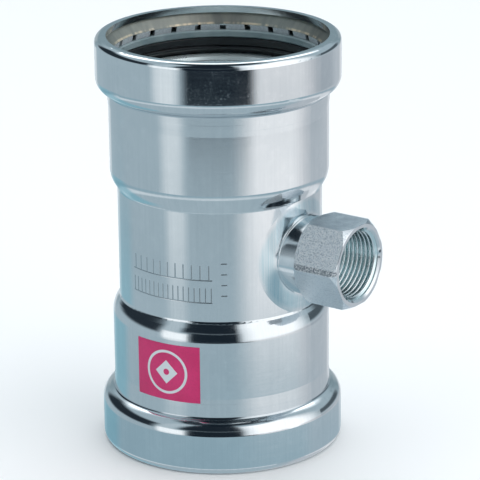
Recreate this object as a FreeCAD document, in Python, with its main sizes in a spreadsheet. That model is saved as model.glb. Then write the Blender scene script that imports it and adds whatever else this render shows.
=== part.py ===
import FreeCAD, Part
import Sketcher
import math
import os

# Press tee: a straight run with a press socket at each end and a threaded branch in the middle.
# Lengths are in millimetres and angles in degrees.
# +Z runs up the run's axis, +X out along the branch, and the origin is the centre of the lower rim.
# Every piece is drawn about the crossing of the two axes and then lifted by half the length.

doc = FreeCAD.newDocument("press_tee")
sheet = doc.addObject("Spreadsheet::Sheet", "Sizes")

# Driving dimensions
DIMENSIONS = [
    ("overall_length", 156.0, "rim to rim"),
    ("pipe_diameter", 76.1, "outside diameter of the pipe and of the middle tube"),
    ("pipe_clearance", 0.4, "gap all round between the pipe and the guide"),
    ("wall", 2.2, "thickness of the formed tube"),
    ("groove_depth", 4.6, "how far the collar stands out beyond the guide"),
    ("rim_overhang", 2.05, "how far the turned-in rim reaches over the collar's inside"),
    ("rim_rounding", 2.4, "outer rounding of the rim"),
    ("collar_crown", 5.2, "convex rounding of the collar's shoulder"),
    ("collar_root", 1.0, "concave rounding at the foot of the collar's shoulder"),
    ("collar_slope", 65.0, "slope of the collar's shoulder"),
    ("band_width", 2.6, "raised band beside the collar"),
    ("band_rise", 0.25, "how far the band stands above the guide"),
    ("band_ramp", 2.4, "length of the band's fall to the guide"),
    ("guide_crown", 9.5, "convex rounding of the guide's shoulder"),
    ("guide_root", 2.0, "concave rounding at the foot of the guide's shoulder"),
    ("guide_slope", 32.0, "slope of the guide's shoulder"),
    ("neck_diameter", 30.0, "outside of the drawn neck"),
    ("neck_height", 1.2, "neck's end above the middle tube, even all round"),
    ("flare_width", 7.0, "how far the neck's flare reaches out over the middle tube"),
    ("flare_rise", 0.8, "how far the flare climbs the neck"),
    ("neck_mouth", 3.0, "rounding from the middle tube to the neck, inside"),
    ("neck_room", 5.6, "neck's side to the foot of the guide's shoulder"),
    ("branch_reach", 62.0, "run's axis to the branch's end face"),
    ("hex_across_flats", 30.0, "width over the hexagon's flats"),
    ("hex_gap", 4.15, "neck's end to the hexagon"),
    ("hex_face", 30.6, "diameter at which the hexagon's ends are turned off"),
    ("hex_turning", 45.0, "slope of the hexagon's turned ends"),
    ("stem_inset", 0.3, "how far the round stem lies inside the neck's outside"),
    ("spigot_length", 2.6, "spigot that centres the connector in the neck"),
    ("spigot_clearance", 0.1, "gap all round the spigot"),
    ("thread_diameter", 26.44, "wall of the threaded hole"),
    ("thread_stop", 6.0, "neck's end to the inner end of the threaded hole"),
    ("thread_entry", 0.7, "countersink at the threaded hole's mouth"),
    ("branch_bore", 22.0, "water passage behind the thread"),
    ("ring_clearance", 0.25, "gap all round between the pipe and the seal"),
    ("ring_play", 0.05, "gap between the two upper rings and the collar's inside"),
    ("cutting_thickness", 0.8, "wall of the cutting ring, measured level"),
    ("cutting_edge_depth", 4.1, "rim's underside to the cutting edge"),
    ("cutting_edge_gap", 0.9, "cutting edge's distance from the pipe"),
    ("segment_height", 2.3, "cutting edge to the lower end of the segments"),
    ("segment_kick", 0.7, "how far the segments lean outward below the edge"),
    ("segment_count", 26, "segments round the cutting ring"),
    ("segment_gap", 2.3, "width of the slot between two segments"),
    ("segment_bearing", -1.8, "direction of the first slot, from the branch"),
    ("separator_height", 2.9, "height of the separator ring"),
    ("separator_bevel", 0.5, "bevel on the separator ring's inner corners"),
    ("separator_gap", 0.5, "separator ring's distance from the pipe"),
    ("seal_land", 3.6, "height of the seal's straight outer face"),
    ("seal_face", 4.2, "height of the seal's inner face"),
    ("seal_groove", 0.5, "depth of the groove between the seal's lips"),
    ("seal_lip", 2.7, "height of the seal's upper lip"),
    ("seal_rounding", 0.4, "rounding of the seal's inner corners"),
    ("label_width", 26.5, "label's length round the guide"),
    ("label_foot_gap", 0.3, "label's lower edge above the band's ramp"),
    ("label_head_gap", 1.7, "label's upper edge below the guide's shoulder"),
    ("label_bearing", -84.5, "direction of the label's middle, from the branch"),
    ("label_thickness", 0.15, "film of the label"),
]
for row, (alias, number, note) in enumerate(DIMENSIONS, start=1):
    sheet.set(f"A{row}", note)
    sheet.set(f"B{row}", str(number))
    sheet.setAlias(f"B{row}", alias)
doc.recompute()


def size(alias):
    """The name by which another object reads a cell of the sheet."""
    return f"Sizes.{alias}"


def value(text):
    """The number that an expression has now."""
    return float(sheet.evalExpression(text))


# A coordinate on an axis, and a line on the outer face itself
ON_AXIS = "0"
ON_FACE = "0"

# The side of an arc's centre, seen on the way along it
LEFT = "left"
RIGHT = "right"


# Sizes that follow from the driving dimensions
HALF_LENGTH = f"({size('overall_length')} / 2)"
PIPE_RADIUS = f"({size('pipe_diameter')} / 2)"
MIDDLE_INSIDE = f"({PIPE_RADIUS} - {size('wall')})"
GUIDE_INSIDE = f"({PIPE_RADIUS} + {size('pipe_clearance')})"
GUIDE_RADIUS = f"({GUIDE_INSIDE} + {size('wall')})"
BAND_RADIUS = f"({GUIDE_RADIUS} + {size('band_rise')})"
COLLAR_RADIUS = f"({GUIDE_RADIUS} + {size('groove_depth')})"
COLLAR_INSIDE = f"({COLLAR_RADIUS} - {size('wall')})"
RIM_OPENING = f"({COLLAR_INSIDE} - {size('rim_overhang')})"
NECK_RADIUS = f"({size('neck_diameter')} / 2)"
NECK_INSIDE = f"({NECK_RADIUS} - {size('wall')})"
NECK_END = f"({PIPE_RADIUS} + {size('neck_height')})"
HEX_START = f"({NECK_END} + {size('hex_gap')})"
THREAD_RADIUS = f"({size('thread_diameter')} / 2)"
THREAD_END = f"({NECK_END} + {size('thread_stop')})"
SEAL_INSIDE = f"({PIPE_RADIUS} + {size('ring_clearance')})"
RING_OUTSIDE = f"({COLLAR_INSIDE} - {size('ring_play')})"

# Levels of the upper socket above the crossing of the axes, from the rim down
UNDER_RIM = f"({HALF_LENGTH} - {size('wall')})"
CUTTING_EDGE = f"({UNDER_RIM} - {size('cutting_edge_depth')})"
SEGMENT_END = f"({CUTTING_EDGE} - {size('segment_height')})"
SEPARATOR_END = f"({SEGMENT_END} - {size('separator_height')})"
COLLAR_START = f"({SEPARATOR_END} - {size('seal_land')})"
MIDDLE_END = f"({NECK_RADIUS} + {size('neck_room')})"


def new_body(label):
    """A piece of its own, lifted so that the lower rim stands at height zero."""
    body = doc.addObject("PartDesign::Body", label)
    body.Label = label
    body.setExpression("Placement.Base.z", HALF_LENGTH)
    return body


def origin_feature(body, role):
    return next(feature for feature in body.Origin.OriginFeatures if feature.Role == role)


def new_sketch(body, name, role, offset=None):
    """A sketch on one of the body's own planes; offset is an expression along the plane's normal."""
    sketch = body.newObject("Sketcher::SketchObject", name)
    sketch.AttachmentSupport = [(origin_feature(body, role), "")]
    sketch.MapMode = "FlatFace"
    if offset:
        sketch.setExpression("AttachmentOffset.Base.z", offset)
    return sketch


# A sketch's constraints call its across axis -1, its up axis -2, and its origin the across axis's point 1.
ORIGIN = (-1, 1)


def bind(sketch, kind, places, text):
    """Adds a dimension and ties it to an expression."""
    index = sketch.addConstraint(Sketcher.Constraint(kind, *places, value(text)))
    name = f"{kind}_{index}"
    sketch.renameConstraint(index, name)
    sketch.setExpression(f"Constraints.{name}", text)


def place(sketch, edge, end, across, up):
    """Puts the end of an edge at a place given by two expressions, where 0 means on the axis."""
    for kind, text, axis in (("DistanceX", across, -2), ("DistanceY", up, -1)):
        if text == ON_AXIS:
            sketch.addConstraint(Sketcher.Constraint("PointOnObject", edge, end, axis))
        else:
            bind(sketch, kind, (*ORIGIN, edge, end), text)


def arc_between(start, end, radius, side):
    """The short arc from start to end, with its centre on the given side of the way."""
    chord = end - start
    reach = math.sqrt(radius * radius - chord.Length * chord.Length / 4)
    leftward = FreeCAD.Vector(-chord.y, chord.x, 0).normalize()
    middle = (start + end) / 2
    centre = middle + leftward * reach if side == LEFT else middle - leftward * reach
    first = math.atan2(start.y - centre.y, start.x - centre.x)
    last = math.atan2(end.y - centre.y, end.x - centre.x)
    whole = Part.Circle(centre, FreeCAD.Vector(0, 0, 1), radius)
    if side == LEFT:
        return Part.ArcOfCircle(whole, first, last)
    return Part.ArcOfCircle(whole, last, first)


def outline(sketch, corners):
    """A closed outline. A corner is (across, up), or (across, up, radius, side) where an arc leads to it:
    side LEFT or RIGHT says where the arc's centre lies on the way to the corner."""
    points = [FreeCAD.Vector(value(corner[0]), value(corner[1]), 0) for corner in corners]
    edges = []
    for index, corner in enumerate(corners):
        start, end = points[index - 1], points[index]
        if len(corner) == 2:
            edges.append((sketch.addGeometry(Part.LineSegment(start, end)), 1, 2))
            continue
        radius, side = corner[2:]
        edge = sketch.addGeometry(arc_between(start, end, value(radius), side))
        edges.append((edge, 1, 2) if side == LEFT else (edge, 2, 1))
        bind(sketch, "Radius", (edge,), radius)
    for index, corner in enumerate(corners):
        edge, _, end = edges[index]
        following, start, _ = edges[(index + 1) % len(edges)]
        sketch.addConstraint(Sketcher.Constraint("Coincident", edge, end, following, start))
        place(sketch, edge, end, corner[0], corner[1])
    return sketch


def circle(sketch, radius):
    """A circle about the sketch's origin."""
    ring = Part.Circle(FreeCAD.Vector(0, 0, 0), FreeCAD.Vector(0, 0, 1), value(radius))
    edge = sketch.addGeometry(ring)
    sketch.addConstraint(Sketcher.Constraint("Coincident", edge, 3, *ORIGIN))
    bind(sketch, "Radius", (edge,), radius)
    return edge


def circle_sketch(body, name, role, radius):
    """A sketch of one circle about the body's origin."""
    sketch = new_sketch(body, name, role)
    circle(sketch, radius)
    return sketch


def hexagon(sketch, across_flats):
    """A hexagon about the sketch's origin with its upper flat level."""
    sides = 6
    radius = f"{across_flats} / sqrt(3)"
    corners = [FreeCAD.Vector(math.cos(math.tau * k / sides), math.sin(math.tau * k / sides), 0)
               * value(radius) for k in range(sides)]
    lines = [sketch.addGeometry(Part.LineSegment(corners[k], corners[(k + 1) % sides]))
             for k in range(sides)]
    guide = circle(sketch, radius)
    sketch.setConstruction(guide, True)
    for k, line in enumerate(lines):
        following = lines[(k + 1) % sides]
        sketch.addConstraint(Sketcher.Constraint("Coincident", line, 2, following, 1))
        sketch.addConstraint(Sketcher.Constraint("PointOnObject", line, 2, guide))
        if k > 0:
            sketch.addConstraint(Sketcher.Constraint("Equal", lines[0], line))
    sketch.addConstraint(Sketcher.Constraint("Horizontal", lines[1]))
    return sketch


def shaped(body, kind, name, sketch):
    feature = body.newObject(f"PartDesign::{kind}", name)
    feature.Profile = sketch
    return feature


def turned(body, kind, name, sketch, axis="V_Axis"):
    """A full turn of a sketch about one of its own axes: kind Revolution adds and Groove cuts."""
    feature = shaped(body, kind, name, sketch)
    feature.ReferenceAxis = (sketch, [axis])
    feature.Angle = 360
    doc.recompute()
    return feature


def rounded(body, name, base, edges, radius):
    feature = body.newObject("PartDesign::Fillet", name)
    feature.Base = (base, edges)
    feature.setExpression("Radius", radius)
    doc.recompute()
    return feature


def edges_where(feature, test):
    """Names of the edges of a feature whose points all pass a test."""
    samples = 7
    return [f"Edge{number}" for number, edge in enumerate(feature.Shape.Edges, start=1)
            if all(test(point) for point in edge.discretize(samples))]


def near(first, second):
    tolerance = 0.001
    return abs(first - second) < tolerance


def crossing_seam(feature, run_radius, branch_radius):
    """The edges where a cylinder round the run meets one round the branch."""
    return edges_where(feature, lambda point: near(math.hypot(point.x, point.y), value(run_radius))
                       and near(math.hypot(point.y, point.z), value(branch_radius)))


def shoulder_length(high, low, crown, root, slope):
    """Length along the run of a shoulder between two radii: two roundings with a straight slope between."""
    rounded_fall = f"({crown} + {root}) * (1 - cos({slope}))"
    return f"(({crown} + {root}) * sin({slope}) + ({high} - {low} - {rounded_fall}) / tan({slope}))"


def shoulder(high, low, start, crown, root, slope, inset):
    """Corners of a shoulder that falls from radius high to radius low, from the level start down.
    inset is how far the line lies inside the outer face, so both faces of the wall share their centres."""
    end = f"({start} - {shoulder_length(high, low, crown, root, slope)})"
    inner_crown = f"({crown} - {inset})"
    inner_root = f"({root} + {inset})"
    return [
        (f"{high} - {inset}", start),
        (f"{high} - {crown} + {inner_crown} * cos({slope})", f"{start} - {inner_crown} * sin({slope})",
         inner_crown, RIGHT),
        (f"{low} + {root} - {inner_root} * cos({slope})", f"{end} + {inner_root} * sin({slope})"),
        (f"{low} - {inset}", end, inner_root, LEFT),
    ]


def collar_shoulder(inset):
    return shoulder(COLLAR_RADIUS, BAND_RADIUS, COLLAR_START, size("collar_crown"),
                    size("collar_root"), size("collar_slope"), inset)


# Levels of the raised band beside the collar, and of the guide's shoulder that stops the pipe
BAND_START = collar_shoulder(ON_FACE)[-1][1]
RAMP_START = f"({BAND_START} - {size('band_width')})"
RAMP_END = f"({RAMP_START} - {size('band_ramp')})"
GUIDE_FORM = (size("guide_crown"), size("guide_root"), size("guide_slope"))
GUIDE_START = f"({MIDDLE_END} + {shoulder_length(GUIDE_RADIUS, PIPE_RADIUS, *GUIDE_FORM)})"


def socket_line(inset):
    """Corners of one face of the wall from the collar down to the middle tube."""
    band = [
        (f"{BAND_RADIUS} - {inset}", RAMP_START),
        (f"{GUIDE_RADIUS} - {inset}", RAMP_END),
    ]
    stop = shoulder(GUIDE_RADIUS, PIPE_RADIUS, GUIDE_START, *GUIDE_FORM, inset)
    return collar_shoulder(inset) + band + stop


def and_below(corners):
    """The line, followed by its mirror image under the crossing of the axes, walked back."""
    mirrored = []
    for index in reversed(range(len(corners))):
        across, up = corners[index][:2]
        bend = corners[index + 1][2:] if index + 1 < len(corners) else ()
        mirrored.append((across, f"-({up})", *bend))
    return corners + mirrored


def tee_body():
    """The run, its two sockets and the drawn neck, formed from one tube."""
    body = new_body("tee_body")

    # The neck is drawn out of the plain tube, longer than it ends up, so that its flare is whole.
    middle = shaped(body, "Pad", "middle_tube", circle_sketch(body, "middle_circle", "XY_Plane", PIPE_RADIUS))
    middle.SideType = "Symmetric"
    middle.setExpression("Length", f"2 * {GUIDE_START}")
    drawn_end = f"({NECK_END} + {size('flare_width')})"
    neck = shaped(body, "Pad", "neck", circle_sketch(body, "neck_circle", "YZ_Plane", NECK_RADIUS))
    neck.setExpression("Length", drawn_end)
    doc.recompute()
    flare = body.newObject("PartDesign::Chamfer", "flare")
    flare.Base = (neck, crossing_seam(neck, PIPE_RADIUS, NECK_RADIUS))
    flare.ChamferType = "Two distances"
    flare.setExpression("Size", size("flare_width"))
    flare.setExpression("Size2", size("flare_rise"))
    doc.recompute()

    # The sockets are widened from the tube: outside first, with the rounded rim.
    outside = and_below([
        (ON_AXIS, HALF_LENGTH),
        (f"{COLLAR_RADIUS} - {size('rim_rounding')}", HALF_LENGTH),
        (COLLAR_RADIUS, f"{HALF_LENGTH} - {size('rim_rounding')}", size("rim_rounding"), RIGHT),
    ] + socket_line(ON_FACE))
    sketch = outline(new_sketch(body, "run_outline", "XZ_Plane"), outside)
    turned(body, "Revolution", "run", sketch)

    # The neck's end is trimmed at an even height above the tube.
    trim_height = f"({NECK_RADIUS} + {size('wall')})"
    clear_of_neck = f"{drawn_end} + {NECK_RADIUS}"
    trim = [
        (NECK_END, f"-{trim_height}"),
        (clear_of_neck, f"-{trim_height}"),
        (clear_of_neck, trim_height),
        (NECK_END, trim_height),
    ]
    turned(body, "Groove", "neck_trim", outline(new_sketch(body, "trim_outline", "XZ_Plane"), trim))

    # The inner face of the wall, with the narrower opening in the turned-in rim
    beyond = f"{HALF_LENGTH} + {size('wall')}"
    inside = and_below([
        (ON_AXIS, beyond),
        (RIM_OPENING, beyond),
        (RIM_OPENING, UNDER_RIM),
        (COLLAR_INSIDE, UNDER_RIM),
    ] + socket_line(size("wall")))
    turned(body, "Groove", "waterway", outline(new_sketch(body, "waterway_outline", "XZ_Plane"), inside))

    bore = shaped(body, "Pocket", "neck_bore", circle_sketch(body, "bore_circle", "YZ_Plane", NECK_INSIDE))
    bore.Reversed = True
    bore.setExpression("Length", drawn_end)
    doc.recompute()
    rounded(body, "neck_mouth", bore, crossing_seam(bore, MIDDLE_INSIDE, NECK_INSIDE), size("neck_mouth"))
    return body


def branch_connector():
    """The turned connector on the neck: a hexagon with a threaded hole, a round stem and a spigot."""
    body = new_body("branch_connector")
    reach = size("branch_reach")
    stem = shaped(body, "Pad", "stem",
                  circle_sketch(body, "stem_circle", "YZ_Plane", f"{NECK_RADIUS} - {size('stem_inset')}"))
    stem.setExpression("Length", HEX_START)
    doc.recompute()

    # The stem's end is hollowed to sit on the neck's end, and the spigot is left standing in it.
    sketch = outline(new_sketch(body, "saddle_outline", "XZ_Plane"), [
        (ON_AXIS, f"-{NECK_RADIUS}"),
        (NECK_END, f"-{NECK_RADIUS}"),
        (NECK_END, NECK_RADIUS),
        (ON_AXIS, NECK_RADIUS),
    ])
    turned(body, "Groove", "saddle", sketch)
    spigot_end = f"{NECK_END} - {size('spigot_length')}"
    spigot_radius = f"{NECK_INSIDE} - {size('spigot_clearance')}"
    sketch = outline(new_sketch(body, "spigot_outline", "XZ_Plane"), [
        (spigot_end, ON_AXIS),
        (spigot_end, spigot_radius),
        (HEX_START, spigot_radius),
        (HEX_START, ON_AXIS),
    ])
    turned(body, "Revolution", "spigot", sketch, "H_Axis")

    sketch = new_sketch(body, "hexagon_outline", "YZ_Plane", HEX_START)
    flats = shaped(body, "Pad", "hexagon", hexagon(sketch, size("hex_across_flats")))
    flats.setExpression("Length", f"{reach} - {HEX_START}")
    doc.recompute()

    # Both ends of the hexagon are turned off at a slope, out past its corners.
    face_radius = f"{size('hex_face')} / 2"
    corner_radius = f"{size('hex_across_flats')} * 2 / sqrt(3)"
    run_out = f"({corner_radius} - {face_radius}) * tan({size('hex_turning')})"
    for name, end, back in (("front_turning", reach, "-"), ("rear_turning", HEX_START, "+")):
        sketch = outline(new_sketch(body, f"{name}_outline", "XZ_Plane"), [
            (end, face_radius),
            (end, corner_radius),
            (f"{end} {back} {run_out}", corner_radius),
        ])
        turned(body, "Groove", name, sketch, "H_Axis")

    bore_radius = f"{size('branch_bore')} / 2"
    sketch = outline(new_sketch(body, "hole_outline", "XZ_Plane"), [
        (spigot_end, ON_AXIS),
        (spigot_end, bore_radius),
        (THREAD_END, bore_radius),
        (THREAD_END, THREAD_RADIUS),
        (f"{reach} - {size('thread_entry')}", THREAD_RADIUS),
        (reach, f"{THREAD_RADIUS} + {size('thread_entry')}"),
        (reach, ON_AXIS),
    ])
    turned(body, "Groove", "threaded_hole", sketch, "H_Axis")
    return body


def set_in_socket(body, lower):
    """Turns a piece drawn for the upper socket over into the lower one."""
    if lower:
        turn = FreeCAD.Rotation(FreeCAD.Vector(1, 0, 0), 180)
        body.Placement = FreeCAD.Placement(body.Placement.Base, turn)
    return body


def cutting_ring(label, lower):
    """The toothed ring: a steel strip bent to an edge, slotted below it into leaning segments."""
    body = new_body(label)
    edge_radius = f"({PIPE_RADIUS} + {size('cutting_edge_gap')})"
    thickness = size("cutting_thickness")
    sketch = outline(new_sketch(body, "strip_outline", "XZ_Plane"), [
        (f"{RING_OUTSIDE} - {thickness}", UNDER_RIM),
        (RING_OUTSIDE, UNDER_RIM),
        (f"{edge_radius} + {thickness}", CUTTING_EDGE),
        (f"{edge_radius} + {thickness} + {size('segment_kick')}", SEGMENT_END),
        (f"{edge_radius} + {size('segment_kick')}", SEGMENT_END),
        (edge_radius, CUTTING_EDGE),
    ])
    turned(body, "Revolution", "strip", sketch)

    # The slots' sketch is turned about the ring's axis, the upward direction of its plane.
    half_gap = f"{size('segment_gap')} / 2"
    sketch = new_sketch(body, "slot_outline", "YZ_Plane")
    bearing = FreeCAD.Rotation(FreeCAD.Vector(0, 1, 0), value(size("segment_bearing")))
    sketch.AttachmentOffset = FreeCAD.Placement(FreeCAD.Vector(), bearing)
    sketch.setExpression("AttachmentOffset.Rotation.Angle", size("segment_bearing"))
    outline(sketch, [
        (f"-{half_gap}", SEGMENT_END),
        (half_gap, SEGMENT_END),
        (half_gap, CUTTING_EDGE),
        (f"-{half_gap}", CUTTING_EDGE),
    ])
    slot = shaped(body, "Pocket", "slot", sketch)
    slot.Reversed = True
    slot.setExpression("Length", RING_OUTSIDE)
    doc.recompute()
    slots = body.newObject("PartDesign::PolarPattern", "slots")
    slots.Originals = [slot]
    slots.Axis = (origin_feature(body, "Z_Axis"), [""])
    slots.Angle = 360
    slots.setExpression("Occurrences", size("segment_count"))
    body.Tip = slots
    return set_in_socket(body, lower)


def separator_ring(label, lower):
    """The plastic ring that keeps the cutting ring off the seal."""
    body = new_body(label)
    inside = f"({PIPE_RADIUS} + {size('separator_gap')})"
    bevel = size("separator_bevel")
    sketch = outline(new_sketch(body, "separator_outline", "XZ_Plane"), [
        (RING_OUTSIDE, SEGMENT_END),
        (RING_OUTSIDE, SEPARATOR_END),
        (f"{inside} + {bevel}", SEPARATOR_END),
        (inside, f"{SEPARATOR_END} + {bevel}"),
        (inside, f"{SEGMENT_END} - {bevel}"),
        (f"{inside} + {bevel}", SEGMENT_END),
    ])
    turned(body, "Revolution", "separator", sketch)
    return set_in_socket(body, lower)


def seal(label, lower):
    """The rubber seal: two lips towards the pipe, and a back that fits the collar's shoulder."""
    body = new_body(label)
    back_start, back_end = collar_shoulder(size("wall"))[:2]
    upper_lip_end = f"({SEPARATOR_END} - {size('seal_lip')})"
    groove = size("seal_groove")
    sketch = outline(new_sketch(body, "seal_outline", "XZ_Plane"), [
        (COLLAR_INSIDE, SEPARATOR_END),
        back_start,
        back_end,
        (SEAL_INSIDE, f"{SEPARATOR_END} - {size('seal_face')}"),
        (SEAL_INSIDE, f"{upper_lip_end} - 2 * {groove}"),
        (f"{SEAL_INSIDE} + {groove}", f"{upper_lip_end} - {groove}"),
        (SEAL_INSIDE, upper_lip_end),
        (SEAL_INSIDE, SEPARATOR_END),
    ])
    ring = turned(body, "Revolution", "seal_ring", sketch)
    ends = [value(SEPARATOR_END), value(f"{SEPARATOR_END} - {size('seal_face')}")]
    lips = edges_where(ring, lambda point: near(math.hypot(point.x, point.y), value(SEAL_INSIDE))
                       and any(near(point.z, level) for level in ends))
    rounded(body, "lip_rounding", ring, lips, size("seal_rounding"))
    return set_in_socket(body, lower)


def marking_label():
    """The plain printed label on the lower guide, a thin film that follows its curve."""
    body = new_body("marking_label")
    sketch = new_sketch(body, "label_outline", "XZ_Plane")
    outside = f"{GUIDE_RADIUS} + {size('label_thickness')}"
    foot = f"{size('label_foot_gap')} - {RAMP_END}"
    head = f"-{size('label_head_gap')} - {GUIDE_START}"
    outline(sketch, [
        (GUIDE_RADIUS, foot),
        (outside, foot),
        (outside, head),
        (GUIDE_RADIUS, head),
    ])
    film = shaped(body, "Revolution", "film", sketch)
    film.ReferenceAxis = (sketch, ["V_Axis"])
    film.Midplane = True
    film.setExpression("Angle", f"{size('label_width')} / {GUIDE_RADIUS} * 180 / pi")
    doc.recompute()
    bearing = FreeCAD.Rotation(FreeCAD.Vector(0, 0, 1), value(size("label_bearing")))
    body.Placement = FreeCAD.Placement(body.Placement.Base, bearing)
    body.setExpression("Placement.Rotation.Angle", size("label_bearing"))
    return body


pieces = [tee_body(), branch_connector()]
for name, lower in (("upper", False), ("lower", True)):
    pieces.append(cutting_ring(f"{name}_cutting_ring", lower))
    pieces.append(separator_ring(f"{name}_separator_ring", lower))
    pieces.append(seal(f"{name}_seal", lower))
pieces.append(marking_label())
doc.recompute()

for made in doc.Objects:
    if "Invalid" in made.State or "Error" in made.State:
        raise RuntimeError(f"{made.Label} did not build: {made.State}")
for piece in pieces:
    if piece.Shape.isNull() or not piece.Shape.isValid():
        raise RuntimeError(f"{piece.Label} has no valid shape")

os.makedirs("parts", exist_ok=True)
for piece in pieces:
    piece.Shape.exportStep(f"parts/{piece.Label}.step")
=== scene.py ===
import bmesh
import bpy
import math
from mathutils import Matrix, Vector


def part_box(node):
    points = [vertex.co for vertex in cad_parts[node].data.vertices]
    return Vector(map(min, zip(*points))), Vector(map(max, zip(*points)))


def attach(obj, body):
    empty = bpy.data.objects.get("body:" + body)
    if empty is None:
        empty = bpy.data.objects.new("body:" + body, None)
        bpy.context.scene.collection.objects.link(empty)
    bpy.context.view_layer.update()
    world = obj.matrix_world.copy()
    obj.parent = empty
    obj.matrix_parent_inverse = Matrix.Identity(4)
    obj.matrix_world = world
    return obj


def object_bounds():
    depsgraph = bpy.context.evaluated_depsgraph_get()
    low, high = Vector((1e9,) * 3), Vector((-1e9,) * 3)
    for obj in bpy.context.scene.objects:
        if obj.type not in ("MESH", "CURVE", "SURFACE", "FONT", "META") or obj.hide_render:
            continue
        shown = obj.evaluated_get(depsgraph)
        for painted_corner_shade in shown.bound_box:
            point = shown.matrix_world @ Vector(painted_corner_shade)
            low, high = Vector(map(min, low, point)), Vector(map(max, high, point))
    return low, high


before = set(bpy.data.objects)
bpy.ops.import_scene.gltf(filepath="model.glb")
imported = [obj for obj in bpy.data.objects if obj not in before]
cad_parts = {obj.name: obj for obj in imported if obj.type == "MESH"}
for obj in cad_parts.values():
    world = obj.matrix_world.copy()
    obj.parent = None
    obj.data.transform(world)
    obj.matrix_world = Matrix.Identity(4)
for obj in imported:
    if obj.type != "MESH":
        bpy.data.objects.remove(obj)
cad_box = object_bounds()

# Lengths are in metres, and in millimetres where they are multiplied by MM. The model's bounds give the
# height of the tee's middle, and the reach of the branch's end face
MM = 0.001
MICRON = 0.000001
MID = (cad_box[0].z + cad_box[1].z) / 2
END_FACE = cad_box[1].x

# Camera
CAMERA_AZIMUTH = math.radians(35.2)
CAMERA_ELEVATION = math.radians(18.6)
CAMERA_DISTANCE = 1.0
CAMERA_ROLL = -0.0103
FOCAL_PIXELS = 2667.6
FRAME_PIXELS = 480
SENSOR_MM = 36.0
AIM = Vector((0, 0, MID - 0.0019))
AIM_RIGHT = 0.00735
NEAREST, FARTHEST = 0.01, 50


def direction(azimuth, elevation):
    """Unit vector from the object towards a place at this azimuth and elevation, in radians."""
    level = math.cos(elevation)
    return Vector((math.sin(azimuth) * level, -math.cos(azimuth) * level, math.sin(elevation)))


def turned_to(back):
    """A turn that makes a camera or a light look against this direction."""
    return back.to_track_quat("Z", "Y").to_matrix()


def make_camera():
    back = direction(CAMERA_AZIMUTH, CAMERA_ELEVATION)
    data = bpy.data.cameras.new("camera")
    camera = bpy.data.objects.new("camera", data)
    bpy.context.scene.collection.objects.link(camera)
    turn = turned_to(back)
    place = AIM + turn.col[0] * AIM_RIGHT + back * CAMERA_DISTANCE
    roll = Matrix.Rotation(CAMERA_ROLL, 4, "Z")
    camera.matrix_world = Matrix.Translation(place) @ turn.to_4x4() @ roll
    data.sensor_width = SENSOR_MM
    data.lens = SENSOR_MM * FOCAL_PIXELS / FRAME_PIXELS
    data.clip_start = NEAREST
    data.clip_end = FARTHEST
    bpy.context.scene.camera = camera


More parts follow.
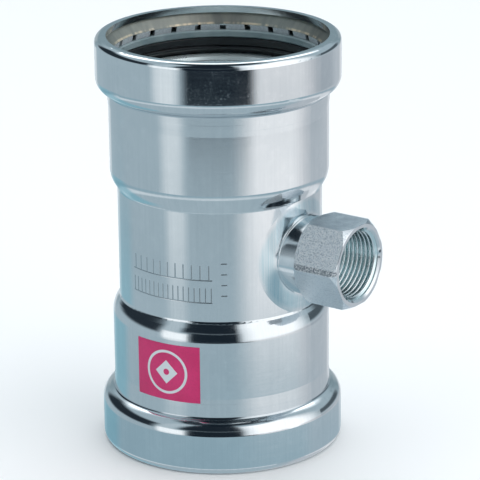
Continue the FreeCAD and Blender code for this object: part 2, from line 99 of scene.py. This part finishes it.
class Nodes:
    """Short ways to build a node tree."""

    def __init__(self, name, tree=None):
        if tree is None:
            self.material = bpy.data.materials.new(name)
            self.material.use_nodes = True
            tree = self.material.node_tree
            self.shader = tree.nodes["Principled BSDF"]
        self.tree = tree

    def add(self, kind, inputs=None, **settings):
        node = self.tree.nodes.new(kind)
        for key, setting in settings.items():
            setattr(node, key, setting)
        for key, source in (inputs or {}).items():
            self.feed(node.inputs[key], source)
        return node

    def feed(self, socket, source):
        """Links a socket to a node's output, or sets its value. A colour may come without its alpha."""
        if isinstance(source, bpy.types.NodeSocket):
            self.tree.links.new(source, socket)
        elif isinstance(source, tuple) and len(source) == 3 and socket.type == "RGBA":
            socket.default_value = (*source, 1)
        else:
            socket.default_value = source

    def set(self, name, source):
        self.feed(self.shader.inputs[name], source)

    def position(self):
        return self.add("ShaderNodeTexCoord").outputs["Object"]

    def math(self, operation, first, second=0.0):
        return self.add("ShaderNodeMath", {0: first, 1: second}, operation=operation).outputs[0]

    def plus(self, first, second):
        return self.math("ADD", first, second)

    def minus(self, first, second):
        return self.math("SUBTRACT", first, second)

    def times(self, first, second):
        return self.math("MULTIPLY", first, second)

    def larger(self, first, second):
        return self.math("MAXIMUM", first, second)

    def size(self, value):
        return self.math("ABSOLUTE", value)

    def distance(self, first, second):
        """Length of the slant between two places that lie this far apart both ways."""
        return self.math("SQRT", self.plus(self.times(first, first), self.times(second, second)))

    def split(self, vector):
        return self.add("ShaderNodeSeparateXYZ", {0: vector}).outputs

    def join(self, x, y, z):
        return self.add("ShaderNodeCombineXYZ", {0: x, 1: y, 2: z}).outputs[0]

    def noise(self, vector, scale, detail=2.0, roughness=0.5):
        inputs = {"Vector": vector, "Scale": scale, "Detail": detail, "Roughness": roughness}
        return self.add("ShaderNodeTexNoise", inputs).outputs["Fac"]

    def drawn(self, *coordinates, detail=2.0, roughness=0.5):
        """Noise drawn out into lines: three coordinates, each with its own scale."""
        scaled = [self.times(coordinate, scale) for coordinate, scale in coordinates]
        return self.noise(self.join(*scaled), 1.0, detail, roughness)

    def ease(self, value, start, end, first, last):
        """Runs softly from the first number to the last one, between two places."""
        inputs = {0: value, 1: start, 2: end, 3: first, 4: last}
        return self.add("ShaderNodeMapRange", inputs, interpolation_type="SMOOTHSTEP").outputs[0]

    def grey(self, factor, low, high, from_low=0.0, from_high=1.0):
        """Runs evenly from low to high, while the factor runs between its own two values."""
        inputs = {0: factor, 1: from_low, 2: from_high, 3: low, 4: high}
        return self.add("ShaderNodeMapRange", inputs).outputs[0]

    def share(self, factor, from_low, from_high, most=1.0):
        """None where the factor is low, and the most where it is high."""
        return self.grey(factor, 0.0, most, from_low, from_high)

    def step(self, value, place, width):
        """0 below a place and 1 above it, with a soft edge."""
        return self.ease(value, place - width / 2, place + width / 2, 0.0, 1.0)

    def under(self, value, place, width):
        """1 below a place and 0 above it, with a soft edge."""
        return self.minus(1.0, self.step(value, place, width))

    def between(self, value, low, high, width):
        return self.times(self.step(value, low, width), self.under(value, high, width))

    def mix(self, factor, first, second, blend="MIX"):
        node = self.add("ShaderNodeMix", data_type="RGBA", blend_type=blend)
        for socket, source in zip((node.inputs[0], node.inputs[6], node.inputs[7]), (factor, first, second)):
            self.feed(socket, source)
        return node.outputs[2]

    def bump(self, height, distance, strength=1.0, normal=None):
        inputs = {"Height": height, "Distance": distance, "Strength": strength}
        if normal is not None:
            inputs["Normal"] = normal
        return self.add("ShaderNodeBump", inputs).outputs[0]


def around_run(n):
    """Coordinates that follow a turned form about the run: angle, radius and height."""
    x, y, z = n.split(n.position())
    return n.math("ARCTAN2", y, x), n.distance(x, y), z


def around_branch(n):
    """Coordinates that follow a turned form about the branch: angle from the top, radius and reach."""
    x, y, z = n.split(n.position())
    up = n.minus(z, MID)
    return n.math("ARCTAN2", y, up), n.distance(y, up), x


def cloudy(n, field, first, second):
    """Two tones that drift into each other."""
    return n.mix(n.share(field, 0.35, 0.65), first, second)


# A noise's scale counts its swings per metre, or per radian where it is drawn out round an axis.
# Scratches have a width in the noise that draws them, and another noise picks the places where they lie
SCRATCH_WIDTH = 0.006
SCRATCH_EDGE = 0.008
SCRATCH_PLACES = 55.0
SCRATCH_PLACES_EDGE = 0.04


def scratches(n, lines, part):
    """Thin broken lines: where a drawn noise passes its middle value, in some part of the surface."""
    thin = n.under(n.size(n.minus(lines, 0.5)), SCRATCH_WIDTH, SCRATCH_EDGE)
    place = n.step(n.noise(n.position(), SCRATCH_PLACES), 1.0 - part, SCRATCH_PLACES_EDGE)
    return n.times(thin, place)


# Outside of the middle tube, and how wide a sharp edge and a soft edge are
TUBE_RADIUS = 0.03805
SHARP = 0.0002
SOFT = 0.0005

# Marks etched on the middle tube: two rows of ticks, each with its level, the ticks' height and their
# spacing, and a column of short strokes. The ticks are counted from a place beyond their first end
MARK_BEARING = math.radians(-85.0)
MARK_LINES = [(MID - 0.0018, 0.0056, 0.0032), (MID - 0.0104, 0.0056, 0.0021)]
MARK_HALF_LENGTH = 0.0172
MARK_COUNT_START = 100.5
STROKE = 0.00040
COLUMN_BEARING = math.radians(-52.6)
COLUMN_SPAN = (MID - 0.0125, MID + 0.0035)
COLUMN_HALF_WIDTH = 0.0011
RUNG_SPACING = 0.0041
RUNG_SHARE = (0.42, 0.52)
RUNG_EDGE = 0.05


def row_of_ticks(n, along, height, level, tall, spacing):
    """Upright ticks that stand on one line."""
    half, thin = tall / 2, STROKE / 2
    wide = STROKE / spacing / 2
    run = n.math("FRACT", n.plus(n.math("DIVIDE", along, spacing), MARK_COUNT_START))
    ticks = n.between(run, 0.5 - wide, 0.5 + wide, wide)
    ticks = n.times(ticks, n.between(height, level - half, level + half, SHARP))
    foot = n.between(height, level - half - thin, level - half + thin, thin)
    return n.times(n.larger(ticks, foot), n.between(along, -MARK_HALF_LENGTH, MARK_HALF_LENGTH, SHARP))


def etched_marks(n, angle, height):
    """Where the marks are etched."""
    along = n.times(n.minus(angle, MARK_BEARING), TUBE_RADIUS)
    upper, lower = [row_of_ticks(n, along, height, *line) for line in MARK_LINES]
    across = n.times(n.minus(angle, COLUMN_BEARING), TUBE_RADIUS)
    rung = n.between(n.math("FRACT", n.math("DIVIDE", height, RUNG_SPACING)), *RUNG_SHARE, RUNG_EDGE)
    column = n.times(rung, n.between(across, -COLUMN_HALF_WIDTH, COLUMN_HALF_WIDTH, SHARP))
    column = n.times(column, n.between(height, *COLUMN_SPAN, SHARP))
    return n.larger(n.larger(upper, lower), column)


# The run's surfaces are told apart by their radius, and by their depth: the distance from the tee's middle.
# What lies within the first radii is the inside of the middle tube, of the guides and of the collars'
# shoulders. What lies beyond the last two is the outside of guides and collars
TUBE_INSIDE = TUBE_RADIUS - 0.00025
TUBE_SKIN = (TUBE_RADIUS - 0.00015, TUBE_RADIUS + 0.00015)
GUIDE_INSIDE = 0.0387
SHOULDER_INSIDE = 0.0405
GUIDE_SKIN = 0.0395
COLLAR_SKIN = 0.0435

# Depths: where the guide starts inside, the corner between band and collar, and the collar's straight wall
GUIDE_START = 0.0235
CORNER = 0.05735
CORNER_HALF = 0.0004
SHOULDER_START = CORNER + 0.00025
SHOULDER_EDGE = 0.0003
COLLAR_WALL = 0.0625
COLLAR_EDGE = 0.002

# The band beside each collar, by depth: its step is worn flat, and its wall leans a little towards the guide
RAMP_START = 0.05194
RAMP_END = 0.05434
BAND_RISE = 0.00025
LEAN_START = 0.0500
BAND_END = 0.05694
BAND_LEAN = 0.000105

# The flare of the drawn neck: radii from the branch's axis, and the reach beyond which it lies
FLARE = (0.0155, 0.0205)
FLARE_EDGE = 0.0022
FLARE_REACH = 0.020
FLARE_REACH_EDGE = 0.004

# Tones of the tube
ZINC_TONES = (0.73, 0.77, 0.79), (0.80, 0.83, 0.845)
STREAK_TONE = (0.62, 0.67, 0.70)
BLOTCH_TONE = (0.92, 0.94, 0.95)
SCRATCH_TONE = (0.95, 0.96, 0.97)
# Painted shade for the corner between band and collar
PAINTED_CORNER_SHADE = (0.35, 0.42, 0.47)
# Painted reflection for the neck's concave flare: a darker teal tint
PAINTED_FLARE_REFLECTION = (0.46, 0.64, 0.70)
MARK_TONE = (0.22, 0.27, 0.30)
# The inside's tone is partly a duller zinc and partly painted light: a pale teal that brightens the shaded
# inside
DULL_AND_PAINTED_LIT_INSIDE = (0.86, 0.97, 0.98)


def eased_band(n, depth):
    """How far the drawn band differs from a straight ramp and a straight wall."""
    straight = n.grey(depth, 0.0, BAND_RISE, RAMP_START, RAMP_END)
    lean = n.grey(depth, 0.0, BAND_LEAN, LEAN_START, BAND_END)
    return n.minus(lean, straight)


def tube_inside(n, radius, depth):
    """Where the run is seen from inside: middle tube, guides and the collars' shoulders."""
    middle = n.under(radius, TUBE_INSIDE, SHARP)
    guides = n.times(n.under(radius, GUIDE_INSIDE, SHARP), n.step(depth, GUIDE_START, SOFT))
    shoulders = n.times(n.under(radius, SHOULDER_INSIDE, SHARP), n.step(depth, SHOULDER_START, SHOULDER_EDGE))
    return n.larger(n.larger(middle, guides), shoulders)


def painted_flare_reflection(n, grain):
    """Where the neck was drawn out of the tube: a painted reflection, a darker teal tint that stands in for
    the dark reflection in the concave flare, streaked by the grain.
    """
    off, reach = around_branch(n)[1:]
    flare = n.times(n.between(off, *FLARE, FLARE_EDGE), n.step(reach, FLARE_REACH, FLARE_REACH_EDGE))
    return n.times(flare, n.grey(grain, 0.35, 0.75, 0.35, 0.65))


def zinc_tube():
    """Bright zinc on drawn tube: a cool silver, faintly lined round the run, with fine specks."""
    n = Nodes("zinc_tube")
    angle, radius, height = around_run(n)
    depth = n.size(n.minus(height, MID))
    skin = n.step(radius, GUIDE_SKIN, SHARP)

    # What lies on the zinc, and where, and the painted shade in the corner between band and collar. The
    # collar is pressed smooth, so lines and specks are calmer on it
    lines = n.drawn((angle, 2.0), (radius, 1.0), (height, 1100.0), detail=3.0)
    rings = n.drawn((angle, 0.8), (radius, 1.0), (height, 420.0), detail=1.5)
    grain = n.drawn((angle, 55.0), (radius, 1.0), (height, 16.0), detail=4.0, roughness=0.6)
    worn = scratches(n, n.drawn((angle, 6.0), (radius, 1.0), (height, 420.0), detail=0.0), 0.36)
    cloud = n.noise(n.position(), 35.0, 3.0)
    blotch = n.noise(n.position(), 260.0, 3.0, 0.6)
    speck = n.noise(n.position(), 2000.0, 1.5, 0.6)
    dots = n.times(n.share(speck, 0.60, 0.72), n.grey(blotch, 0.15, 1.0, 0.42, 0.62))
    marks = n.times(etched_marks(n, angle, height), n.between(radius, *TUBE_SKIN, SHARP / 2))
    collar = n.times(n.step(depth, COLLAR_WALL, COLLAR_EDGE), n.step(radius, COLLAR_SKIN, SOFT))
    painted_corner_shade = n.times(n.between(depth, CORNER - CORNER_HALF, CORNER + CORNER_HALF, SOFT), skin)
    inside = tube_inside(n, radius, depth)
    calm = n.grey(collar, 1.0, 0.2)

    tone = cloudy(n, cloud, *ZINC_TONES)
    tone = n.mix(n.share(grain, 0.4, 0.7, 0.22), tone, STREAK_TONE)
    tone = n.mix(n.share(blotch, 0.5, 0.75, 0.20), tone, BLOTCH_TONE)
    tone = n.mix(n.times(worn, 0.25), tone, SCRATCH_TONE)
    # Painted shade: the corner between band and collar is darkened
    tone = n.mix(n.times(painted_corner_shade, 0.45), tone, PAINTED_CORNER_SHADE)
    # Painted reflection: the neck's flare is tinted a darker teal
    tone = n.mix(painted_flare_reflection(n, grain), tone, PAINTED_FLARE_REFLECTION)
    tone = n.mix(n.times(marks, 0.62), tone, MARK_TONE)
    # The inside is paler: partly duller zinc, partly painted light on the shaded inside
    n.set("Base Color", n.mix(n.times(inside, 0.8), tone, DULL_AND_PAINTED_LIT_INSIDE))
    n.set("Metallic", n.grey(inside, 1.0, 0.42))

    # The collar is the smoothest, and the etched marks and the inside are the dullest
    rough = n.plus(n.grey(cloud, 0.085, 0.12, 0.3, 0.7), n.grey(speck, -0.012, 0.018))
    rough = n.plus(rough, n.times(marks, 0.3))
    rough = n.minus(rough, n.times(collar, 0.068))
    n.set("Roughness", n.plus(rough, n.times(inside, 0.18)))

    relief = n.bump(n.times(eased_band(n, depth), skin), 1.0)
    relief = n.bump(n.times(rings, collar), 4 * MICRON, 1.0, relief)
    relief = n.bump(n.times(lines, calm), 6 * MICRON, 0.3, relief)
    relief = n.bump(grain, 12 * MICRON, 0.4, relief)
    relief = n.bump(marks, -60 * MICRON, 0.7, relief)
    relief = n.bump(n.times(dots, n.grey(collar, 0.2, 1.0)), 3 * MICRON, 0.5, relief)
    n.set("Normal", n.bump(n.times(speck, calm), 4 * MICRON, 0.35, relief))
    return n.material


# The hexagon's flats: the radius beyond which they lie, and the reaches between which they lie. Angles
# from the top, in radians: where the top flat ends, the dark strip, and where the lower flats start
FLATS_RADIUS = 0.01475
FLATS_REACH = (0.0434, END_FACE - 0.0002)
FLATS_EDGE = 0.0001
TOP_END = (0.50, 0.54)
STRIP = (1.455, 1.562)
STRIP_EDGE = 0.012
LOWER_START = (1.56, 1.60)

# A small dark nick in the branch's end face
NICK = Vector((END_FACE, 0.0138, MID + 0.0015))
NICK_RADIUS = 0.0006

# Tones of the connector
TURNED_TONES = (0.78, 0.81, 0.83), (0.87, 0.89, 0.905)
FLATS_TONE = (0.84, 0.93, 0.99)
PIT_TONE = (0.36, 0.42, 0.48)
STRIP_TONE = (0.14, 0.18, 0.22)
GRIT_TONE = (0.97, 0.985, 0.99)
SAW_TONE = (0.38, 0.42, 0.47)
# Painted shade for the top flat
PAINTED_TOP_FLAT_SHADE = (0.34, 0.40, 0.46)
NICK_TONE = (0.08, 0.10, 0.12)


def nick(n):
    inputs = {0: n.position(), 1: NICK}
    away = n.add("ShaderNodeVectorMath", inputs, operation="DISTANCE").outputs["Value"]
    return n.under(away, NICK_RADIUS, NICK_RADIUS / 2)


def zinc_turned():
    """Zinc on the turned connector: blasted flats with darker specks and a dark strip, painted shade on the
    top flat, and a brushed stem.
    """
    n = Nodes("zinc_turned")
    angle, radius, reach = around_branch(n)
    turn = n.size(angle)
    flats = n.times(n.step(radius, FLATS_RADIUS, FLATS_EDGE), n.between(reach, *FLATS_REACH, FLATS_EDGE))
    blasted = n.times(flats, n.grey(turn, 1.0, 0.35, *LOWER_START))
    above = n.times(n.grey(turn, 1.0, 0.0, *TOP_END), flats)
    strip = n.times(n.between(turn, *STRIP, STRIP_EDGE), flats)

    # What marks the zinc: pits and bright grit where it is blasted, saw lines, and the turning on the stem
    pits = n.noise(n.position(), 2300.0, 3.5, 0.75)
    fine = n.noise(n.position(), 4200.0, 1.0)
    cloud = n.noise(n.position(), 120.0, 3.0)
    saw = n.drawn((reach, 130.0), (angle, 22.0), (radius, 1.0), detail=3.0, roughness=0.7)
    turned = n.drawn((reach, 2600.0), (angle, 1.5), (radius, 1.0))
    dark = n.times(n.share(pits, 0.51, 0.60, 0.90), blasted)
    dark_strip = n.times(strip, n.grey(pits, 0.55, 0.95, 0.42, 0.56))
    bright = n.times(n.grey(pits, 0.95, 0.0, 0.42, 0.51), blasted)

    tone = cloudy(n, cloud, *TURNED_TONES)
    tone = n.mix(n.times(flats, 0.8), tone, FLATS_TONE)
    tone = n.mix(dark, tone, PIT_TONE)
    tone = n.mix(dark_strip, tone, STRIP_TONE)
    tone = n.mix(bright, tone, GRIT_TONE)
    tone = n.mix(n.times(n.share(saw, 0.55, 0.72, 0.3), flats), tone, SAW_TONE)
    # Painted shade: the top flat is darkened
    tone = n.mix(n.times(above, n.grey(cloud, 0.25, 0.65, 0.40, 0.60)), tone, PAINTED_TOP_FLAT_SHADE)
    n.set("Base Color", n.mix(n.times(nick(n), 0.85), tone, NICK_TONE))
    n.set("Metallic", n.minus(1.0, n.times(n.minus(blasted, above), 0.38)))
    n.set("Roughness", n.plus(n.grey(turned, 0.08, 0.16), n.times(flats, n.grey(fine, 0.16, 0.30))))
    relief = n.bump(n.times(pits, blasted), 60 * MICRON, 0.7)
    relief = n.bump(turned, 6 * MICRON, 0.5, relief)
    n.set("Normal", n.bump(n.times(saw, flats), 50 * MICRON, 0.5, relief))
    return n.material


# The thread's crests lie within this radius, and its tones are those of the cut and of the crests
CREST_SKIN = 0.01235
THREAD_TONES = (0.66, 0.80, 0.82), (0.80, 0.93, 0.95)
CREST_TONE = (0.94, 0.98, 0.99)


def zinc_thread():
    """The cut thread: brighter and smoother than the flats, with fine tool lines along its turns."""
    n = Nodes("zinc_thread")
    angle, radius, reach = around_branch(n)
    lines = n.drawn((radius, 3000.0), (angle, 2.0), (reach, 1.0))
    tone = n.mix(n.noise(n.position(), 300.0), *THREAD_TONES)
    n.set("Base Color", n.mix(n.under(radius, CREST_SKIN, SOFT), tone, CREST_TONE))
    n.set("Metallic", 1.0)
    n.set("Roughness", n.grey(lines, 0.16, 0.28))
    n.set("Normal", n.bump(lines, 10 * MICRON, 0.5))
    return n.material


# The segments' height, the depth at which they end and the cone starts, and the edge that glints there
SEGMENTS = 0.0022
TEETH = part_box("upper_cutting_ring")[0].z + SEGMENTS - MID
CUTTING_EDGE = (TEETH + 0.0001, TEETH + 0.0008)
CONE_TONES = (0.30, 0.315, 0.29), (0.42, 0.42, 0.375)
GLINT_TONE = (0.86, 0.74, 0.56)
# Paler segment tones: partly a painted highlight, for the sky light the up-facing segments catch
PAINTED_LIT_SEGMENT_TONES = (0.56, 0.58, 0.61), (0.70, 0.72, 0.75)


def cutting_steel():
    """Stainless strip rolled into a cone, with paler, blasted segments below its edge. Their paler tone is
    partly a painted highlight, for the sky light that the up-facing segments catch.
    """
    n = Nodes("cutting_steel")
    angle, radius, height = around_run(n)
    depth = n.size(n.minus(height, MID))
    teeth = n.under(depth, TEETH, SHARP)
    streak = n.drawn((angle, 7.0), (radius, 1.0), (height, 90.0), detail=3.0, roughness=0.6)
    fine = n.noise(n.position(), 1500.0)
    glint = n.times(n.between(depth, *CUTTING_EDGE, 0.0004), n.share(streak, 0.45, 0.6))
    cone = n.mix(n.share(streak, 0.38, 0.62), *CONE_TONES)
    cone = n.mix(glint, cone, GLINT_TONE)
    n.set("Base Color", n.mix(teeth, cone, cloudy(n, fine, *PAINTED_LIT_SEGMENT_TONES)))
    n.set("Metallic", n.grey(teeth, 0.85, 0.35))
    n.set("Roughness", n.plus(n.grey(streak, 0.42, 0.54), n.times(teeth, 0.08)))
    n.set("Normal", n.bump(fine, 10 * MICRON, 0.4, n.bump(streak, 30 * MICRON, 0.3)))
    return n.material


PLASTIC_TONES = (0.20, 0.27, 0.29), (0.27, 0.34, 0.36)


def separator_plastic():
    """Moulded blue-grey plastic with a faint moulding texture."""
    n = Nodes("separator_plastic")
    fine = n.noise(n.position(), 2400.0)
    cloud = n.noise(n.position(), 120.0)
    n.set("Base Color", cloudy(n, cloud, *PLASTIC_TONES))
    n.set("Roughness", n.grey(fine, 0.36, 0.52))
    n.set("Normal", n.bump(fine, 10 * MICRON, 0.4))
    return n.material


RUBBER_TONES = (0.004, 0.005, 0.007), (0.010, 0.012, 0.015)


def seal_rubber():
    """Black rubber with a dull bloom and a fine moulded grain."""
    n = Nodes("seal_rubber")
    fine = n.noise(n.position(), 3000.0)
    bloom = n.noise(n.position(), 160.0, 3.0)
    n.set("Base Color", n.mix(n.share(bloom, 0.4, 0.7), *RUBBER_TONES))
    n.set("Roughness", n.grey(bloom, 0.30, 0.48, 0.3, 0.7))
    n.set("Normal", n.bump(fine, 10 * MICRON, 0.4))
    return n.material


# The label's middle on the guide, and its plain sign: a ring round a diamond with a hole in it
label_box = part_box("marking_label")
LABEL_BEARING = math.radians(-84.5)
LABEL_RADIUS = -label_box[0].y
LABEL_MIDDLE = (label_box[0].z + label_box[1].z) / 2
SIGN_RADIUS = 0.0080
SIGN_LINE = 0.0010
SIGN_DIAMOND = 0.0046
SIGN_HOLE = 0.0012
SIGN_TONE = (0.74, 0.80, 0.84)
FILM_TONES = (0.66, 0.020, 0.155), (0.74, 0.028, 0.185)
FILM_GRAIN_TONE = (0.38, 0.02, 0.10)


def plain_sign(n):
    """Where the sign is printed."""
    angle, _, height = around_run(n)
    across = n.times(n.minus(angle, LABEL_BEARING), LABEL_RADIUS)
    up = n.minus(height, LABEL_MIDDLE)
    far = n.distance(across, up)
    ring = n.between(far, SIGN_RADIUS - SIGN_LINE / 2, SIGN_RADIUS + SIGN_LINE / 2, SHARP)
    diamond = n.under(n.plus(n.size(across), n.size(up)), SIGN_DIAMOND, SHARP)
    return n.larger(ring, n.minus(diamond, n.under(far, SIGN_HOLE, SHARP)))


def label_film():
    """Magenta printed film, with a plain white sign and a slight grain."""
    n = Nodes("label_film")
    sign = plain_sign(n)
    grain = n.noise(n.position(), 1500.0)
    cloud = n.noise(n.position(), 90.0)
    tone = cloudy(n, cloud, *FILM_TONES)
    tone = n.mix(n.share(grain, 0.5, 0.8, 0.35), tone, FILM_GRAIN_TONE)
    n.set("Base Color", n.mix(sign, tone, SIGN_TONE))
    n.set("Roughness", n.grey(grain, 0.30, 0.44))
    n.set("Normal", n.bump(sign, 20 * MICRON, 0.5, n.bump(grain, 8 * MICRON, 0.4)))
    return n.material


def dress(material, *names):
    for name in names:
        for slot in bpy.data.objects[name].material_slots:
            slot.material = material


FLOOR_REACH = 30.0
FLOOR_TONE = (0.92, 0.925, 0.93)


def make_floor():
    """A plain pale floor. It isn't part of the tee."""
    mesh = bpy.data.meshes.new("floor")
    corners = [(-1, -1), (1, -1), (1, 1), (-1, 1)]
    mesh.from_pydata([(x * FLOOR_REACH, y * FLOOR_REACH, 0) for x, y in corners], [], [(0, 1, 2, 3)])
    floor = bpy.data.objects.new("floor", mesh)
    bpy.context.scene.collection.objects.link(floor)
    n = Nodes("floor")
    n.set("Base Color", FLOOR_TONE)
    n.set("Roughness", 0.9)
    n.set("Specular IOR Level", 0.0)
    mesh.materials.append(n.material)
    floor.visible_glossy = False


# The studio: soft panels and dark gaps round the tee, each given by its name, the azimuths and the
# elevations between which it stands, in degrees from the camera's side, then how soft its sides and its
# ends are, its strength and its colour. The panels add up, and the shades are then laid over them
AMBIENT = (0.40, 0.50, 0.56)
PANELS = [
    ("right_box", 24, 94, -12, 57, 16, 4, 0.95, (0.95, 0.86, 0.82)),
    ("right_box_low", 27, 96, -21.2, -12, 18, 3.2, 0.66, (0.95, 0.80, 0.74)),
    ("left_strip_high", -66, -48, 14, 60, 4, 8, 0.10, (1.0, 0.92, 0.88)),
    ("left_strip_mid", -64, -35, -13, 14, 4, 4, 0.70, (1.0, 0.92, 0.88)),
    ("left_strip_low", -61, -39, -20.2, -13, 7, 2.6, 0.30, (1.0, 0.90, 0.84)),
    ("right_edge", 92, 170, -60, -8, 12, 6, 0.12, (1.0, 0.55, 0.45)),
    ("left_back", -260, -136, 38, 62, 12, 6, 1.5, (1.0, 1.0, 1.0)),
    ("right_back", 136, 260, 38, 62, 12, 6, 1.5, (1.0, 1.0, 1.0)),
    ("left_back_strip", -172, -156, -60, 10, 4, 3, 0.30, (1.0, 0.92, 0.88)),
    ("right_back_strip", 158, 172, -60, 10, 4, 3, 0.22, (1.0, 0.92, 0.88)),
    ("low_line", -200, 200, -36, -28, 5, 1.6, 0.26, (1.0, 0.95, 0.92)),
]
BLACK = (0.006, 0.012, 0.020)
SHADES = [
    ("left_tint", -171, -122, -60, -18.5, 9, 2.5, 0.62, (0.18, 0.46, 0.57)),
    ("low", -300, 300, -26.5, -21.9, 5, 0.9, 0.45, (0.20, 0.37, 0.46)),
    ("front_right", 30, 135, -15.95, -12, 8, 0.15, 0.30, (0.20, 0.25, 0.30)),
    ("front_low", -33, 33, -16.02, -12.8, 7, 0.16, 0.985, BLACK),
    ("front", -34, 20, -12.8, 20, 5, 0.2, 0.985, BLACK),
    ("front_high", -44, 20, 20, 82, 5, 6, 0.985, BLACK),
    ("left_side", -146, -68, 2, 34, 6, 5, 0.965, BLACK),
    ("right_side", 104, 146, -5, 14, 6, 4, 0.80, BLACK),
    ("left_back_low", -300, -150, -8, 22, 6, 5, 0.45, (0.05, 0.12, 0.14)),
    ("right_back_low", 150, 300, -8, 22, 6, 5, 0.45, (0.05, 0.12, 0.14)),
    ("zenith", -400, 400, 68, 120, 1, 5, 0.95, BLACK),
]
NO_LIGHT = (0.0, 0.0, 0.0)
DEGREES = 180 / math.pi


def make_world():
    world = bpy.data.worlds.new("studio")
    bpy.context.scene.world = world
    world.use_nodes = True
    n = Nodes("studio", world.node_tree)
    sight = n.add("ShaderNodeTexCoord").outputs["Generated"]
    turned = n.add("ShaderNodeMapping", {"Vector": sight, "Rotation": (0, 0, -CAMERA_AZIMUTH)}).outputs[0]
    x, y, z = n.split(turned)
    azimuth = n.times(n.math("ARCTAN2", x, n.times(y, -1.0)), DEGREES)
    elevation = n.times(n.math("ARCSINE", z), DEGREES)

    def span(value, low, high, soft):
        """1 between two angles and 0 beyond them. A soft side starts and ends this far from its angle."""
        rise = n.ease(value, low - soft, low + soft, 0.0, 1.0)
        fall = n.ease(value, high - soft, high + soft, 1.0, 0.0)
        return n.times(rise, fall)

    def patch(west, east, low, high, soft_sides, soft_ends, share):
        sides = span(azimuth, west, east, soft_sides)
        ends = span(elevation, low, high, soft_ends)
        return n.times(n.times(sides, ends), share)

    light = AMBIENT
    for name, *place, strength, colour in PANELS:
        glow = n.mix(patch(*place, 1.0), NO_LIGHT, tuple(strength * part for part in colour))
        light = n.mix(1.0, light, glow, "ADD")
        light.node.label = name
    for name, *place, share, colour in SHADES:
        light = n.mix(patch(*place, share), light, colour)
        light.node.label = name
    background = n.tree.nodes["Background"]
    n.feed(background.inputs["Color"], light)
    n.feed(background.inputs["Strength"], 1.0)


# A wide soft light over the tee, leaning a little to the front. The metal doesn't mirror it
TOP_ELEVATION = math.radians(89)
TOP_DISTANCE = 2.0
TOP_SIDE = 2.4
TOP_WATTS = 34


def make_top_light():
    data = bpy.data.lights.new("top", "AREA")
    data.shape = "SQUARE"
    data.size = TOP_SIDE
    data.energy = TOP_WATTS
    light = bpy.data.objects.new("top", data)
    bpy.context.scene.collection.objects.link(light)
    back = direction(0, TOP_ELEVATION)
    place = Vector((0, 0, MID)) + back * TOP_DISTANCE
    light.matrix_world = Matrix.Translation(place) @ turned_to(back).to_4x4()
    light.visible_glossy = False


# The branch's thread, in millimetres: its pitch and radii, the reaches between which it is cut, how
# steeply its inner end runs out, and how full its crests are
PITCH = 1.814
THREAD_ROOT = 13.19
THREAD_CREST = 12.06
THREAD_START = 45.3
COUNTERSINK = 0.7
THREAD_MOUTH = END_FACE / MM - COUNTERSINK
RUN_OUT = 0.7
FULLNESS = 0.8
STEPS_ROUND = 144
STEPS_PITCH = 14
WELD = 0.00001


def thread_radius(phase):
    """Radius of the thread's form at a share of its pitch: rounded crests and roots, and sloping flanks."""
    swing = 0.5 - 0.5 * math.cos(2 * math.pi * phase)
    swell = (3 * swing ** 2 - 2 * swing ** 3) ** FULLNESS
    return THREAD_ROOT - (THREAD_ROOT - THREAD_CREST) * swell


def thread_point(turn, k):
    """A point of the thread's skin, after a share of one turn and some steps along it."""
    place = THREAD_START + (k / STEPS_PITCH + turn - 1) * PITCH
    x = min(max(place, THREAD_START), THREAD_MOUTH)
    inner = THREAD_ROOT - RUN_OUT * (x - THREAD_START)
    outer = THREAD_ROOT - (THREAD_MOUTH - x)
    r = max(thread_radius(k / STEPS_PITCH), inner, outer)
    angle = 2 * math.pi * turn
    return x * MM, -r * MM * math.sin(angle), MID + r * MM * math.cos(angle)


def make_thread():
    """The inside thread, as one skin that winds along the bore and runs out at both ends."""
    mesh = bpy.data.meshes.new("branch_thread")
    bm = bmesh.new()
    turns = int((THREAD_MOUTH - THREAD_START) / PITCH) + 2
    count = turns * STEPS_PITCH + 1
    rows = []
    for i in range(STEPS_ROUND):
        rows.append([bm.verts.new(thread_point(i / STEPS_ROUND, k)) for k in range(count)])

    # After the last row the skin joins the first one again, one pitch further on
    for i in range(STEPS_ROUND):
        near, far = rows[i], rows[(i + 1) % STEPS_ROUND]
        shift = STEPS_PITCH if i == STEPS_ROUND - 1 else 0
        for k in range(count - 1 - shift):
            bm.faces.new((near[k + shift], far[k], far[k + 1], near[k + 1 + shift]))
    bmesh.ops.remove_doubles(bm, verts=bm.verts, dist=WELD)
    bmesh.ops.recalc_face_normals(bm, faces=bm.faces)
    bm.to_mesh(mesh)
    bm.free()
    mesh.shade_smooth()
    thread = bpy.data.objects.new("branch_thread", mesh)
    bpy.context.scene.collection.objects.link(thread)
    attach(thread, "root")
    mesh.materials.append(zinc_thread())


make_camera()
make_floor()
make_world()
make_top_light()
bpy.context.scene.view_settings.view_transform = "Standard"
dress(zinc_tube(), "tee_body")
dress(zinc_turned(), "branch_connector")
make_thread()
dress(cutting_steel(), "upper_cutting_ring", "lower_cutting_ring")
dress(separator_plastic(), "upper_separator_ring", "lower_separator_ring")
dress(seal_rubber(), "upper_seal", "lower_seal")
dress(label_film(), "marking_label")
